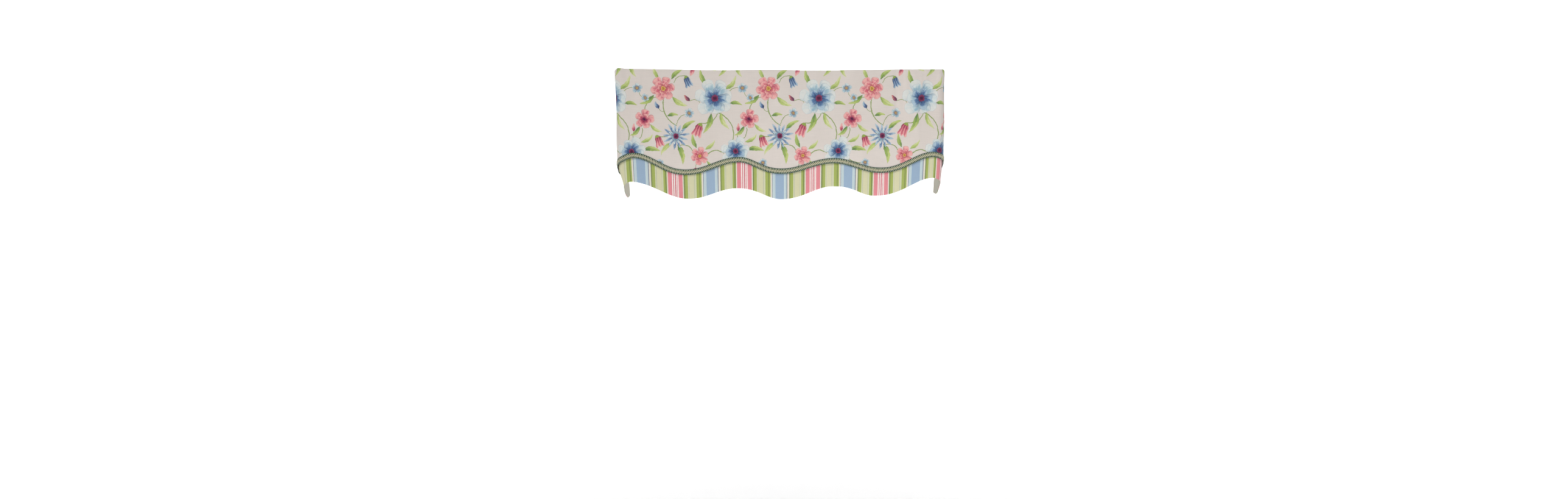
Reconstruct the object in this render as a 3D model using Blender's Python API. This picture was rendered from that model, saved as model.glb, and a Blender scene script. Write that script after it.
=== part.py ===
"""Window valance: a printed panel with a wavy, braided lower edge, hung over a striped panel and its lining.

Units are metres and +Z is up. The origin is the middle of the top edge. The front faces -Y, and a return
at each end runs back along +Y to the wall. Two numbers place a point on the cloth: how far along the width
it lies, from the middle, and how far it drops below the origin.
"""

import math
from collections import namedtuple

import bpy

# The whole
FRONT_WIDTH = 1.110
RETURN_DEPTH = 0.090
CORNER_RADIUS = 0.022

# The cloth
SHEET = 0.0010
GAP = 0.0003
TURN_DOWN = 0.030
LINING_SHORT = 0.0015
FLORAL_STAND_OFF = 0.0025

# The braid
BRAID_WIDTH = 0.0175
BRAID_THICKNESS = 0.0020
BRAID_EDGE_THICKNESS = 0.0008
EDGE_BELOW_BRAID_MIDDLE = 0.0065

# Depths at which the hang changes
FLAT_TOP = 0.070
BRAID_LEVEL = 0.300
SWING_TOP = 0.320
SWING_END = 0.400

# How finely the sheets are divided
FRONT_STEPS = 24
CORNER_STEPS = 5
RETURN_STEPS = 3
TURN_STEPS = 4
PANEL_ROWS = 4
UNDER_ROWS = 2

# The layers lie either side of a middle line: lining behind it, striped cloth in front, printed cloth outermost
UNDER_FACE = GAP / 2 + SHEET
PANEL_BACK = UNDER_FACE + GAP
PANEL_FACE = PANEL_BACK + SHEET

STRAIGHT_HALF = FRONT_WIDTH / 2 - PANEL_FACE - CORNER_RADIUS
CORNER_ARC = CORNER_RADIUS * math.pi / 2
RETURN_STRAIGHT = RETURN_DEPTH - PANEL_FACE - CORNER_RADIUS
CORNER_END = STRAIGHT_HALF + CORNER_ARC
CLOTH_END = CORNER_END + RETURN_STRAIGHT

Edge = namedtuple("Edge", "along drop bend", defaults=(0.0,))
Hang = namedtuple("Hang", "along at_braid at_hem")
Fold = namedtuple("Fold", "along half_width top bottom out")

# In the edges' tables a stretch with a bend above 0 falls or rises late, and one with a bend below 0 early.
# Top edge: slack between its ends, with a slanting drop round each corner to the lower returns
TOP_EDGE = (
    Edge(-CLOTH_END, 0.0060),
    Edge(-CORNER_END, 0.0042, 0.20),
    Edge(-0.5380, -0.0058),
    Edge(-0.5050, -0.0031),
    Edge(-0.2000, 0.0010),
    Edge(-0.0400, -0.0004),
    Edge(0.1350, 0.0018),
    Edge(0.2500, -0.0004),
    Edge(0.4400, -0.0026),
    Edge(0.5430, -0.0033, -0.40),
    Edge(CORNER_END, 0.0030),
    Edge(CLOTH_END, 0.0040),
)

# Highest and lowest points of the braid's middle line
BRAID_WAVE = (
    Edge(-CLOTH_END, 0.3450),
    Edge(-0.5000, 0.2788, -0.19),
    Edge(-0.3220, 0.3357),
    Edge(-0.1455, 0.2944, -0.22),
    Edge(-0.0005, 0.3341),
    Edge(0.1760, 0.2994),
    Edge(0.3375, 0.3328, 0.13),
    Edge(0.5195, 0.2795),
    Edge(0.6150, 0.3400),
    Edge(CLOTH_END, 0.3390),
)

# Highest and lowest points of the striped panel's hem
HEM_WAVE = (
    Edge(-CLOTH_END, 0.4295),
    Edge(-0.6020, 0.4310),
    Edge(-0.5140, 0.3695),
    Edge(-0.3210, 0.4271, 0.09),
    Edge(-0.1580, 0.3926, 0.25),
    Edge(-0.0040, 0.4310, 0.13),
    Edge(0.1760, 0.3877, 0.31),
    Edge(0.3140, 0.4211, 0.27),
    Edge(0.5220, 0.3612),
    Edge(0.6120, 0.4275),
    Edge(CLOTH_END, 0.4265),
)

# How far the cloth hangs out of its plan line at the braid, and the under layers at their hem
HANG = (
    Hang(-CLOTH_END, 0.000, -0.020),
    Hang(-CORNER_END, 0.001, -0.014),
    Hang(-STRAIGHT_HALF, 0.002, -0.006),
    Hang(-0.4500, 0.006, 0.003),
    Hang(-0.3200, 0.009, 0.010),
    Hang(0.0000, 0.008, 0.009),
    Hang(0.3400, 0.010, 0.011),
    Hang(STRAIGHT_HALF, 0.007, 0.007),
    Hang(CORNER_END, 0.005, 0.001),
    Hang(CLOTH_END, 0.004, -0.003),
)

# Soft upright folds: ridges are positive, troughs negative
FOLDS = (
    Fold(-0.5000, 0.035, -0.060, 0.130, -0.0025),
    Fold(-0.4200, 0.080, 0.100, 0.600, -0.0030),
    Fold(-0.2000, 0.090, 0.120, 0.600, -0.0040),
    Fold(0.0320, 0.050, -0.020, 0.160, -0.0015),
    Fold(0.1000, 0.080, 0.120, 0.600, -0.0030),
    Fold(0.2400, 0.070, 0.080, 0.600, 0.0030),
    Fold(0.3850, 0.045, -0.060, 0.260, -0.0030),
    Fold(0.4550, 0.045, 0.000, 0.420, 0.0035),
    Fold(0.5050, 0.035, -0.060, 0.160, -0.0030),
)


def ease(share):
    """A smooth step from 0 to 1."""
    held = min(max(share, 0.0), 1.0)
    return (1 - math.cos(math.pi * held)) / 2


def bell(share):
    """A smooth hump, 1 in the middle and 0 at a distance of 1."""
    return math.cos(math.pi * share / 2) ** 2 if abs(share) < 1 else 0.0


def bent(share, bend):
    """A share of the way along a stretch, reached late for a bend above 0 and early for one below."""
    held = min(max(share, 0.0), 1.0)
    if bend < 0:
        return 1 - (1 - held) ** (1 - bend)
    return held ** (1 + bend)


def eased_column(rows, column, along):
    """The value of a table's column at a place along the cloth, smooth between its rows."""
    for left, right in zip(rows, rows[1:]):
        if along <= right.along:
            share = (along - left.along) / (right.along - left.along)
            blend = ease(bent(share, getattr(left, "bend", 0.0)))
            return (1 - blend) * getattr(left, column) + blend * getattr(right, column)
    return getattr(rows[-1], column)


def fold_out(fold, along, drop):
    """How far one fold stands out at a point of the cloth."""
    middle = (fold.top + fold.bottom) / 2
    half_height = (fold.bottom - fold.top) / 2
    return fold.out * bell((along - fold.along) / fold.half_width) * bell((drop - middle) / half_height)


def panel_hang(along, drop):
    """How far every layer hangs out of its plan line, down to the braid."""
    lean = ease((drop - FLAT_TOP) / (BRAID_LEVEL - FLAT_TOP)) * eased_column(HANG, "at_braid", along)
    return lean + sum(fold_out(fold, along, drop) for fold in FOLDS)


def under_hang(along, drop):
    """The under layers follow the panel to the braid and then swing to their own place at the hem."""
    swing = eased_column(HANG, "at_hem", along) - eased_column(HANG, "at_braid", along)
    return panel_hang(along, drop) + swing * ease((drop - SWING_TOP) / (SWING_END - SWING_TOP))


def top_panel_hang(along, drop):
    """The printed panel stands a little further out towards its stiff braided edge."""
    return panel_hang(along, drop) + FLORAL_STAND_OFF * ease((drop - FLAT_TOP) / (BRAID_LEVEL - FLAT_TOP))


def place(along, out, drop):
    """The position of a point given along the cloth, out of the plan line and below the origin."""
    side = math.copysign(1, along)
    run = abs(along)
    turn = min(max(run - STRAIGHT_HALF, 0), CORNER_ARC) / CORNER_RADIUS
    sideways = math.sin(turn)
    forward = math.cos(turn)
    x = min(run, STRAIGHT_HALF) + (CORNER_RADIUS + out) * sideways
    y = CORNER_RADIUS - (CORNER_RADIUS + out) * forward + max(run - CORNER_END, 0)
    return (side * x, y, -drop)


def stations():
    """Places along the cloth: close together round the corners, wider on the front and the returns."""
    half = [STRAIGHT_HALF * step / FRONT_STEPS for step in range(FRONT_STEPS)]
    half += [STRAIGHT_HALF + CORNER_ARC * step / CORNER_STEPS for step in range(CORNER_STEPS)]
    half += [CORNER_END + RETURN_STRAIGHT * step / RETURN_STEPS for step in range(RETURN_STEPS + 1)]
    return [-place_along for place_along in reversed(half[1:])] + half


def top_of_layers(along):
    """The depth at which the under layers begin, inside the turned top edge."""
    return eased_column(TOP_EDGE, "drop", along) + PANEL_FACE


def panel_edge(along):
    """The depth of the printed panel's lower edge, behind the braid."""
    return eased_column(BRAID_WAVE, "drop", along) + EDGE_BELOW_BRAID_MIDDLE


def panel_depths(along):
    """The rows that all the layers share: the top, the end of the turned edge, and on to the panel's edge."""
    top = top_of_layers(along)
    turned = top + TURN_DOWN
    edge = panel_edge(along)
    return [top] + [turned + (edge - turned) * row / PANEL_ROWS for row in range(PANEL_ROWS + 1)]


def floral_column(along):
    """The printed panel's two faces at one station: up behind, over the top edge and down the front."""
    depths = panel_depths(along)
    outer = []
    inner = []
    hang = top_panel_hang(along, depths[1])
    outer.append(place(along, hang - PANEL_FACE, depths[1]))
    inner.append(place(along, hang - PANEL_BACK, depths[1]))
    for step in range(TURN_STEPS + 1):
        angle = math.pi * step / TURN_STEPS
        for face, radius in ((outer, PANEL_FACE), (inner, PANEL_BACK)):
            depth = depths[0] - radius * math.sin(angle)
            face.append(place(along, top_panel_hang(along, depth) - radius * math.cos(angle), depth))
    for depth in depths[1:]:
        hang = top_panel_hang(along, depth)
        outer.append(place(along, hang + PANEL_FACE, depth))
        inner.append(place(along, hang + PANEL_BACK, depth))
    return outer, inner


def under_column(along, front, hem):
    """One under layer's two faces at one station, with its front face at a given place in the stack."""
    depths = panel_depths(along)
    edge = depths[-1]
    depths += [edge + (hem - edge) * row / UNDER_ROWS for row in range(1, UNDER_ROWS + 1)]
    outer = [place(along, under_hang(along, depth) + front, depth) for depth in depths]
    inner = [place(along, under_hang(along, depth) + front - SHEET, depth) for depth in depths]
    return outer, inner


def stripe_column(along):
    return under_column(along, UNDER_FACE, eased_column(HEM_WAVE, "drop", along))


def lining_column(along):
    return under_column(along, -GAP / 2, eased_column(HEM_WAVE, "drop", along) - LINING_SHORT)


def braid_column(along):
    """The braid's two faces at one station: a flat band with thinner edges, kept to its width on the slopes."""
    step = 0.001
    before = eased_column(BRAID_WAVE, "drop", along - step)
    after = eased_column(BRAID_WAVE, "drop", along + step)
    slope = (after - before) / (2 * step)
    half_height = BRAID_WIDTH / 2 * math.hypot(1, slope)
    middle = eased_column(BRAID_WAVE, "drop", along)
    shares = (-1.0, -0.75, 0.0, 0.75, 1.0)
    heights = (BRAID_EDGE_THICKNESS, BRAID_THICKNESS, BRAID_THICKNESS, BRAID_THICKNESS, BRAID_EDGE_THICKNESS)
    outer = []
    inner = []
    for share, height in zip(shares, heights):
        depth = middle + share * half_height
        back = top_panel_hang(along, depth) + PANEL_FACE + GAP
        outer.append(place(along, back + height, depth))
        inner.append(place(along, back, depth))
    return outer, inner


def rim(columns, rows):
    """The border of a grid of points, once round, down its first column."""
    first = [(0, row) for row in range(rows - 1)]
    bottom = [(column, rows - 1) for column in range(columns - 1)]
    last = [(columns - 1, row) for row in range(rows - 1, 0, -1)]
    top = [(column, 0) for column in range(columns - 1, 0, -1)]
    return first + bottom + last + top


def halved(square, points):
    """A square's two triangles, cut from its left side's upper corner, so that neighbouring layers stay parallel."""
    first, second, third, fourth = square
    height_of_first = points[first][2]
    height_of_second = points[second][2]
    if height_of_first > height_of_second:
        return (first, second, third), (first, third, fourth)
    return (first, second, fourth), (second, third, fourth)


def sheet_object(name, column_of):
    """One closed sheet: an outer and an inner grid of points, a column to each station, joined round the rim."""
    pairs = [column_of(along) for along in stations()]
    columns = len(pairs)
    rows = len(pairs[0][0])

    def outer(column, row):
        return column * rows + row

    def inner(column, row):
        return columns * rows + column * rows + row

    points = [point for face in (0, 1) for pair in pairs for point in pair[face]]
    faces = []
    for column in range(columns - 1):
        for row in range(rows - 1):
            corners = ((column, row), (column, row + 1), (column + 1, row + 1), (column + 1, row))
            faces += halved([outer(*corner) for corner in corners], points)
            for triangle in halved([inner(*corner) for corner in corners], points):
                faces.append(triangle[::-1])
    border = rim(columns, rows)
    for here, following in zip(border, border[1:] + border[:1]):
        faces.append((outer(*following), outer(*here), inner(*here), inner(*following)))
    mesh = bpy.data.meshes.new(name)
    mesh.from_pydata(points, [], faces)
    mesh.validate()
    mesh.shade_smooth()
    mesh.set_sharp_from_angle(angle=math.radians(50))
    return bpy.data.objects.new(name, mesh)


def cloth_material(name, colour, roughness):
    material = bpy.data.materials.new(name)
    material.use_nodes = True
    shader = material.node_tree.nodes["Principled BSDF"]
    shader.inputs["Base Color"].default_value = (*colour, 1)
    shader.inputs["Roughness"].default_value = roughness
    shader.inputs["Metallic"].default_value = 0
    return material


Piece = namedtuple("Piece", "name column_of colour roughness")

PIECES = (
    Piece("floral_panel", floral_column, (0.68, 0.62, 0.56), 0.85),
    Piece("braid_trim", braid_column, (0.20, 0.24, 0.17), 0.75),
    Piece("stripe_panel", stripe_column, (0.42, 0.50, 0.30), 0.85),
    Piece("lining", lining_column, (0.60, 0.56, 0.50), 0.90),
)


def main():
    for old in list(bpy.data.objects):
        bpy.data.objects.remove(old)
    whole = bpy.data.objects.new("valance", None)
    bpy.context.scene.collection.objects.link(whole)
    for piece in PIECES:
        sheet = sheet_object(piece.name, piece.column_of)
        sheet.data.materials.append(cloth_material(piece.name, piece.colour, piece.roughness))
        sheet.parent = whole
        bpy.context.scene.collection.objects.link(sheet)


main()
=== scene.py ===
"""Looks of the window valance: fine creased cloth, a flower print, a woven stripe and a corded braid.

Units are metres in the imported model's frame: +Z is up, the front faces -Y, and the origin is the middle
of the top edge. A point of the cloth is given by how far along the width it lies, to the right of the
middle, and how far it drops below the origin. Print, stripe and weave are in millimetres of flat cloth.
"""

import math
from collections import namedtuple
from functools import partial
from types import SimpleNamespace

import bpy
import mathutils
import numpy as np
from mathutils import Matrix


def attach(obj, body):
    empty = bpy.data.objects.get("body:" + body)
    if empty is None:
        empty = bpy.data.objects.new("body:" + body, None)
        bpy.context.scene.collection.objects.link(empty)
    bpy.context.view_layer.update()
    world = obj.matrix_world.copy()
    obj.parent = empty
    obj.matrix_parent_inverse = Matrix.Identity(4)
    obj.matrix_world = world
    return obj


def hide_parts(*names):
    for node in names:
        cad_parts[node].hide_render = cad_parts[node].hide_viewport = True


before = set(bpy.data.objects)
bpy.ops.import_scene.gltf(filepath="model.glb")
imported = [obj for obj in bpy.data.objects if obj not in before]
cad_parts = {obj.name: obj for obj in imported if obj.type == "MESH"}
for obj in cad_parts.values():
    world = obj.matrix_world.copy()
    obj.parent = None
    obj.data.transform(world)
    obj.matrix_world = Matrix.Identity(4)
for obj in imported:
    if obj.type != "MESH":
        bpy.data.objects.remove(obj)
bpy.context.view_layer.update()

# The whole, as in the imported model
FRONT_WIDTH = 1.11
RETURN_DEPTH = 0.09
CORNER_RADIUS = 0.022
SHEET = 0.001
GAP = 0.0003
TURN_DOWN = 0.03
LINING_SHORT = 0.0015
FLORAL_STAND_OFF = 0.0025
BRAID_WIDTH = 0.0175
EDGE_BELOW_BRAID_MIDDLE = 0.0065
FLAT_TOP = 0.07
BRAID_LEVEL = 0.3
SWING_TOP = 0.32
SWING_END = 0.4
UNDER_FACE = GAP / 2 + SHEET
PANEL_FACE = UNDER_FACE + GAP + SHEET
STRAIGHT_HALF = FRONT_WIDTH / 2 - PANEL_FACE - CORNER_RADIUS
CORNER_ARC = CORNER_RADIUS * math.pi / 2
RETURN_STRAIGHT = RETURN_DEPTH - PANEL_FACE - CORNER_RADIUS
CORNER_END = STRAIGHT_HALF + CORNER_ARC
CLOTH_END = CORNER_END + RETURN_STRAIGHT

Edge = namedtuple("Edge", "along drop bend", defaults=(0.0,))
Hang = namedtuple("Hang", "along at_braid at_hem")
Fold = namedtuple("Fold", "along lean half_width top bottom out")

TOP_EDGE = (
    Edge(-CLOTH_END, 0.006), Edge(-CORNER_END, 0.0042, 0.2),
    Edge(-0.538, -0.0058), Edge(-0.505, -0.0031),
    Edge(-0.2, 0.001), Edge(-0.04, -0.0004),
    Edge(0.135, 0.0018), Edge(0.25, -0.0004),
    Edge(0.44, -0.0026), Edge(0.543, -0.0033, -0.4),
    Edge(CORNER_END, 0.003), Edge(CLOTH_END, 0.004),
)

BRAID_WAVE = (
    Edge(-CLOTH_END, 0.345), Edge(-0.5, 0.2788, -0.19),
    Edge(-0.322, 0.3357), Edge(-0.1455, 0.2944, -0.22),
    Edge(-0.0005, 0.3341), Edge(0.176, 0.2994),
    Edge(0.3375, 0.3328, 0.13), Edge(0.5195, 0.2795),
    Edge(0.615, 0.34), Edge(CLOTH_END, 0.339),
)

HEM_WAVE = (
    Edge(-CLOTH_END, 0.4295), Edge(-0.602, 0.431),
    Edge(-0.514, 0.3695), Edge(-0.321, 0.4271, 0.09),
    Edge(-0.158, 0.3926, 0.25), Edge(-0.004, 0.431, 0.13),
    Edge(0.176, 0.3877, 0.31), Edge(0.314, 0.4211, 0.27),
    Edge(0.522, 0.3612), Edge(0.612, 0.4275),
    Edge(CLOTH_END, 0.4265),
)

HANG = (
    Hang(-CLOTH_END, 0.0, -0.02), Hang(-CORNER_END, 0.001, -0.014),
    Hang(-STRAIGHT_HALF, 0.002, -0.006), Hang(-0.45, 0.006, 0.003),
    Hang(-0.32, 0.009, 0.01), Hang(0.0, 0.008, 0.009),
    Hang(0.34, 0.01, 0.011), Hang(STRAIGHT_HALF, 0.007, 0.007),
    Hang(CORNER_END, 0.005, 0.001), Hang(CLOTH_END, 0.004, -0.003),
)

# A fold leans by how far it moves to the right for each metre that it drops
FOLDS = (
    Fold(-0.5, 0.0, 0.035, -0.06, 0.13, -0.0025), Fold(-0.42, 0.0, 0.08, 0.1, 0.6, -0.003),
    Fold(-0.2, 0.0, 0.09, 0.12, 0.6, -0.004), Fold(0.032, 0.0, 0.05, -0.02, 0.16, -0.0015),
    Fold(0.1, 0.0, 0.08, 0.12, 0.6, -0.003), Fold(0.24, 0.0, 0.07, 0.08, 0.6, 0.003),
    Fold(0.385, 0.0, 0.045, -0.06, 0.26, -0.003), Fold(0.455, 0.0, 0.045, 0.0, 0.42, 0.0035),
    Fold(0.505, 0.0, 0.035, -0.06, 0.16, -0.003),
)

# Fine creases that only the looks have
CREASES = (
    Fold(-0.527, 0.1, 0.012, -0.04, 0.1, 0.0014), Fold(-0.461, -0.05, 0.014, -0.02, 0.15, -0.0014),
    Fold(-0.33, 0.12, 0.016, 0.15, 0.33, 0.0009), Fold(-0.1, -0.08, 0.015, 0.18, 0.34, -0.0009),
    Fold(0.037, 0.06, 0.012, -0.03, 0.11, -0.0014), Fold(0.229, -0.1, 0.013, 0.09, 0.24, -0.0012),
    Fold(0.386, 0.04, 0.013, -0.05, 0.2, -0.0023), Fold(0.418, 0.02, 0.012, -0.03, 0.15, 0.0016),
    Fold(0.455, 0.08, 0.014, -0.04, 0.26, 0.0023), Fold(0.479, 0.05, 0.01, -0.03, 0.14, -0.0018),
    Fold(0.528, -0.06, 0.012, -0.04, 0.17, 0.002),
)

# Slow unevenness of hand-hung cloth: waves across the cloth, each with its own slant
Ripple = namedtuple("Ripple", "along_length drop_length height phase")

RIPPLES = (
    Ripple(0.211, 0.33, 0.0012, 0.4),
    Ripple(0.127, -0.24, 0.00075, 2.1),
    Ripple(0.073, 0.19, 0.0003, 4.0),
)

# Puckers that the stitched braid draws into the printed cloth above it
PUCKER_LENGTH = 0.026
PUCKER_HEIGHT = 0.00035
PUCKER_REACH = 0.045

Cord = namedtuple("Cord", "across height ply lay tint")
Stitch = namedtuple("Stitch", "top bottom slant start height bluntness")

# The braid, seen flat: across is down over its width from its middle. The woven ground under its yarns
# has its section given by shares of half the width and by heights.
EDGE_CORDS = (
    Cord(-0.0081, 0.0007, 0.00046, 0.0044, 0.2),
    Cord(0.0085, 0.0007, 0.0005, 0.0044, 0.2),
)
MIDDLE_CORDS = (
    Cord(-0.0026, 0.001, 0.00078, 0.005, 0.2),
    Cord(0.0003, 0.0011, 0.00078, 0.005, 0.9),
    Cord(0.0032, 0.001, 0.00078, 0.005, 0.2),
)
PLY_TINT = 0.1
STITCHES = (
    Stitch(-0.0071, -0.004, 0.0003, 1.0, 0.0017, 5),
    Stitch(-0.0041, 0.0053, 0.0022, 0.5, 0.002, 12),
    Stitch(0.0062, 0.0073, 0.0003, 0.95, 0.001, 5),
)
BAND_SECTION = ((-0.96, 0.0), (-0.94, 0.0004), (0.0, 0.0006), (0.94, 0.0004), (0.96, 0.0), (0.0, 0.0))
BAND_STEP = 0.004
RAIL_STEPS = 4001
RAIL_HEIGHT = 0.001
SLOPE_STEP = 0.001
WIDTH_STEP = 0.008
PLY_STEPS = 8
PLY_SIDES = 6
PLY_SPREAD = 0.85
STRAND_PITCH = 0.0057
STRAND_RADIUS = 0.0007
STRAND_LOW = 0.0007
STRAND_POINTS = 9
STRAND_SIDES = 6
STRAND_SEED = 7

# The looks' own cloth: its thickness, its rounded edge, its rows, and its flat map, where the front's
# two halves, the back and the rim each have a lowest place and a height
LOOK_SHEET = 0.0007
EDGE_ROUND = 0.0006
EDGE_SHARES = (1.0, 0.55, 0.2)
BEHIND_ROWS = 8
FRONT_ROWS = 56
STRIPED_ROWS = 70
LINING_ROWS = 48
BAKE_BLOCKS = ((0.0, 0.39), (0.4, 0.39), (0.8, 0.17))
BAKE_RIM = (0.98, 0.02)
BAKE_MARGIN = 0.002

# How finely the sheets are divided
STATION_STEP = 0.0033
CORNER_STATIONS = 12
TURN_ROWS = 8

# The camera, which looks at the cloth from in front of its middle
CAMERA_PLACE = (-0.1235, -2.485, -0.065)
CAMERA_PITCH = math.radians(12.35)
CAMERA_YAW = math.radians(3.0)
CAMERA_SENSOR = 36.0
CAMERA_LENS = 16.7


def ease(share):
    """A smooth step from 0 to 1."""
    return (1 - np.cos(np.pi * np.clip(share, 0, 1))) / 2


def bell(share):
    """A smooth hump, 1 in the middle and 0 at a distance of 1."""
    return np.cos(np.pi * np.clip(share, -1, 1) / 2) ** 2


def bent(share, bend):
    """A share of the way to a table's next row, reached late for a bend above 0 and early for one below."""
    share = np.clip(share, 0, 1)
    return np.where(bend > 0, share ** (1 + np.abs(bend)), 1 - (1 - share) ** (1 + np.abs(bend)))


def eased(rows, along, column="drop"):
    """The value of a table's column at places along the cloth, smooth between its rows."""
    places = np.array([row.along for row in rows])
    values = np.array([getattr(row, column) for row in rows])
    bends = np.array([getattr(row, "bend", 0.0) for row in rows])
    left = np.clip(np.searchsorted(places, along) - 1, 0, len(rows) - 2)
    blend = ease(bent((along - places[left]) / (places[left + 1] - places[left]), bends[left]))
    return (1 - blend) * values[left] + blend * values[left + 1]


def humps(rows, along, drop):
    """How far a table's folds or creases stand out at points of the cloth."""
    out = np.zeros(np.broadcast(along, drop).shape)
    for row in rows:
        middle = (row.top + row.bottom) / 2
        aside = along - row.along - row.lean * (drop - middle)
        above = (drop - middle) / (row.bottom - middle)
        out = out + row.out * bell(aside / row.half_width) * bell(above)
    return out


def ripples(along, drop):
    """The slow unevenness of the cloth."""
    turns = [along / row.along_length + drop / row.drop_length for row in RIPPLES]
    return sum(row.height * np.sin(2 * np.pi * turn + row.phase) for row, turn in zip(RIPPLES, turns))


def panel_hang(along, drop):
    """How far every layer hangs out of its plan line, down to the braid."""
    lean = ease((drop - FLAT_TOP) / (BRAID_LEVEL - FLAT_TOP)) * eased(HANG, along, "at_braid")
    return lean + humps(FOLDS, along, drop) + humps(CREASES, along, drop) + ripples(along, drop)


def under_hang(along, drop):
    """The under layers follow the panel to the braid and then swing to their own place at the hem."""
    swing = eased(HANG, along, "at_hem") - eased(HANG, along, "at_braid")
    return panel_hang(along, drop) + swing * ease((drop - SWING_TOP) / (SWING_END - SWING_TOP))


def top_panel_hang(along, drop):
    """The printed panel stands further out towards its stiff braided edge, which puckers it."""
    stand_off = FLORAL_STAND_OFF * ease((drop - FLAT_TOP) / (BRAID_LEVEL - FLAT_TOP))
    above_braid = (eased(BRAID_WAVE, along) - drop) / PUCKER_REACH
    uneven = 1 + 0.6 * np.sin(along * 23.0 + 1.0) * np.sin(along * 61.0)
    pucker = PUCKER_HEIGHT * uneven * np.sin(2 * np.pi * along / PUCKER_LENGTH) * bell(above_braid)
    return panel_hang(along, drop) + stand_off + pucker


def stacked(*parts):
    """Parts of points side by side on a last axis, each repeated as far as the others need."""
    return np.stack(np.broadcast_arrays(*parts), axis=-1)


def place(along, out, drop):
    """Positions of points given along the cloth, out of the plan line and below the origin."""
    side = np.where(along < 0, -1.0, 1.0)
    run = np.abs(along)
    turn = np.clip(run - STRAIGHT_HALF, 0, CORNER_ARC) / CORNER_RADIUS
    x = np.minimum(run, STRAIGHT_HALF) + (CORNER_RADIUS + out) * np.sin(turn)
    y = CORNER_RADIUS - (CORNER_RADIUS + out) * np.cos(turn) + np.maximum(run - CORNER_END, 0)
    return stacked(side * x, y, -drop)


def stations():
    """Places along the cloth, with as many round each corner as its small radius needs."""
    front = np.linspace(0, STRAIGHT_HALF, round(STRAIGHT_HALF / STATION_STEP) + 1)
    corner = np.linspace(STRAIGHT_HALF, CORNER_END, CORNER_STATIONS + 1)
    back = np.linspace(CORNER_END, CLOTH_END - EDGE_ROUND, round(RETURN_STRAIGHT / STATION_STEP) + 1)
    rim = CLOTH_END - EDGE_ROUND * np.array(EDGE_SHARES)
    half = np.hstack([front, corner[1:], back[1:-1], rim, CLOTH_END])
    return np.hstack([-half[:0:-1], half])[:, None]


def rows_to_edge(top, edge, rows):
    """Depths from a top to an edge, with more of them close to the edge, so that it can be round."""
    even = top + (edge - top) * np.linspace(0, 1, rows + 1)[:-1]
    return np.hstack([even, edge - EDGE_ROUND * np.array(EDGE_SHARES), edge])


def rounded(distance):
    """The share of its thickness that cloth keeps at a distance from its folded edge."""
    return np.sqrt(1 - (1 - np.clip(distance / EDGE_ROUND, 0.08, 1)) ** 2)


def top_of_layers(along):
    """The depth at which the under layers begin, inside the turned top edge."""
    return eased(TOP_EDGE, along) + PANEL_FACE


def panel_edge(along):
    """The depth of the printed panel's lower edge, behind the braid."""
    return eased(BRAID_WAVE, along) + EDGE_BELOW_BRAID_MIDDLE


def two_faces(along, angle, base, hang, front, share):
    """A sheet's outer and inner points, at an angle round the top fold, which is pi all down the front."""
    faces = []
    for side in (1, -1):
        radius = front + LOOK_SHEET / 2 * (side * share - 1)
        faces.append(place(along, hang - radius * np.cos(angle), base - radius * np.sin(angle)))
    return faces


def floral_sheet(along):
    """The printed panel: up behind, over the top edge and down the front to the braid."""
    top = top_of_layers(along)
    behind = rows_to_edge(top, top + TURN_DOWN, BEHIND_ROWS)[:, :0:-1]
    front = rows_to_edge(top, panel_edge(along), FRONT_ROWS)[:, 1:]
    turn = np.linspace(0, np.pi, TURN_ROWS + 1) + 0 * top
    base = np.hstack([behind, top + 0 * turn, front])
    angle = np.hstack([0 * behind, turn, np.pi + 0 * front])
    over = top - PANEL_FACE * (np.pi - turn)
    flat = np.hstack([2 * top - np.pi * PANEL_FACE - behind, over, front])
    share = rounded(CLOTH_END - np.abs(along)) * rounded(flat - flat[:, :1])
    outer, inner = two_faces(along, angle, base, top_panel_hang(along, base), PANEL_FACE, share)
    return outer, inner, flat


def under_sheet(along, front, short, rows):
    """A layer under the print, from inside the turned top edge to the hem or just short of it."""
    hem = eased(HEM_WAVE, along) - short
    depth = rows_to_edge(top_of_layers(along), hem, rows)
    share = rounded(CLOTH_END - np.abs(along)) * rounded(hem - depth)
    outer, inner = two_faces(along, np.pi, depth, under_hang(along, depth), front, share)
    return outer, inner, depth


def striped_sheet(along):
    return under_sheet(along, UNDER_FACE, 0.0, STRIPED_ROWS)


def lining_sheet(along):
    return under_sheet(along, LOOK_SHEET - UNDER_FACE, LINING_SHORT, LINING_ROWS)


def bake_places(corners, along, flat):
    """Each face corner's place on the flat map: the front in two halves, then the back, then the rim."""
    columns, rows = flat.shape
    squares = (columns - 1) * (rows - 1)
    column, row = np.divmod(corners % flat.size, rows)
    side = (along / along.max())[column, 0]
    front = np.arange(len(corners))[:, None] < squares
    left = column.max(axis=1, keepdims=True) <= columns // 2
    block = np.where(front, np.where(left, 0, 1), 2)
    low, high = np.moveaxis(np.array(BAKE_BLOCKS)[block], -1, 0)
    u = np.where(front, np.abs(side), (side + 1) / 2)
    v = low + high * ((flat - flat.min()) / np.ptp(flat))[column, row]
    steps = np.arange(len(corners) - 2 * squares)[:, None]
    u[2 * squares :] = (steps + (1, 0, 0, 1)) / len(steps)
    v[2 * squares :] = BAKE_RIM[0] + BAKE_RIM[1] * np.array([1, 1, 0, 0])
    return stacked(u, v) * (1 - 2 * BAKE_MARGIN) + BAKE_MARGIN


def link(item):
    bpy.context.scene.collection.objects.link(item)
    return item


def mesh_object(name, points, faces):
    """A smooth mesh in the scene."""
    mesh = bpy.data.meshes.new(name)
    mesh.from_pydata(np.reshape(points, (-1, 3)).tolist(), [], faces)
    mesh.shade_smooth()
    return link(bpy.data.objects.new(name, mesh))


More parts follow.
